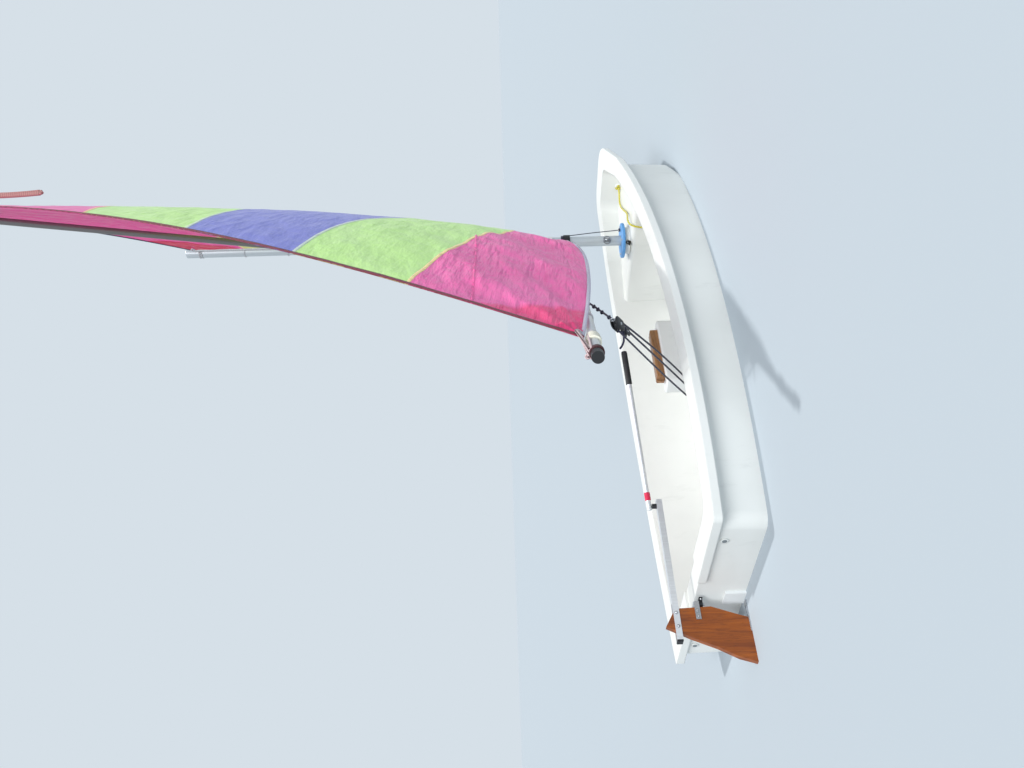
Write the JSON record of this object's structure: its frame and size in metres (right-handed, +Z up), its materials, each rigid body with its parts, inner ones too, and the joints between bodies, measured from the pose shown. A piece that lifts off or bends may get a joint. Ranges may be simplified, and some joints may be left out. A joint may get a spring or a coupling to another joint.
{
  "type": "pram sailing dinghy",
  "caption": "Small pram-bowed sailing dinghy with a sprit-rigged sail, boom, daggerboard and hung rudder with tiller.",
  "frame": {"origin": "at the water's surface, on the hull's centreline amidships", "axes": "+X to the bow, +Y to port, +Z up out of the water"},
  "size_m": [2.6756, 1.5825, 4.0434],
  "materials": {
    "moulding": "smooth moulded white plastic",
    "case": "moulded white plastic",
    "board_wood": "varnished plywood",
    "spar": "satin anodised tube",
    "collar": "light blue plastic",
    "fitting_black": "black nylon",
    "fitting_metal": "brushed stainless",
    "sailcloth": "light sailcloth in coloured panels",
    "rudder_wood": "dark orange-brown varnished wood",
    "tie_cord": "thin braided line",
    "painter_rope": "braided yellow rope",
    "webbing": "woven webbing"
  },
  "bodies": {
    "hull": {"hull_moulding": "moulding", "daggerboard_case": "case", "mast": "spar", "mast_collar": "collar", "mast_cleat": "fitting_black", "transom_pad": "case", "gudgeons": "fitting_metal", "transom_plugs": "fitting_black", "sheet_block_floor": "fitting_black", "bow_eye": "fitting_metal", "painter": "painter_rope", "painter_coil": "painter_rope", "painter_knot": "painter_rope", "painter_bow_knot": "painter_rope", "toe_strap_port": "webbing", "toe_strap_starboard": "webbing"},
    "rig": {"boom": "spar", "boom_jaw": "fitting_black", "boom_end_cap": "fitting_black", "boom_bands": "tie_cord", "sail": "sailcloth", "sprit": "spar", "luff_ties": "tie_cord", "sheet_block_boom": "fitting_black"},
    "rudder": {"rudder_blade": "rudder_wood", "rudder_straps": "fitting_metal", "tiller": "spar", "extension_swivel": "fitting_black", "tiller_cap": "fitting_black"},
    "extension": {"tiller_extension": "spar"},
    "board": {"daggerboard": "board_wood", "daggerboard_cheeks": "board_wood"}
  },
  "joints": [
    {"name": "boom_swing", "type": "hinge", "parent": "hull", "child": "rig", "pos_m": [0.663, 0, 0.47], "axis": [0, 0, 1], "range_deg": [-121.5, 58.5]},
    {"name": "rudder_steer", "type": "hinge", "parent": "hull", "child": "rudder", "pos_m": [-1.163, 0, 0], "axis": [0, 0, 1], "range_deg": [-45, 45]},
    {"name": "extension_swing", "type": "hinge", "parent": "rudder", "child": "extension", "pos_m": [-0.772, 0, 0.26], "axis": [0, 0, 1], "range_deg": [-80, 110]},
    {"name": "board_slide", "type": "slide", "parent": "hull", "child": "board", "axis": [0, 0, 1], "range_m": [0, 0.7]}
  ]
}
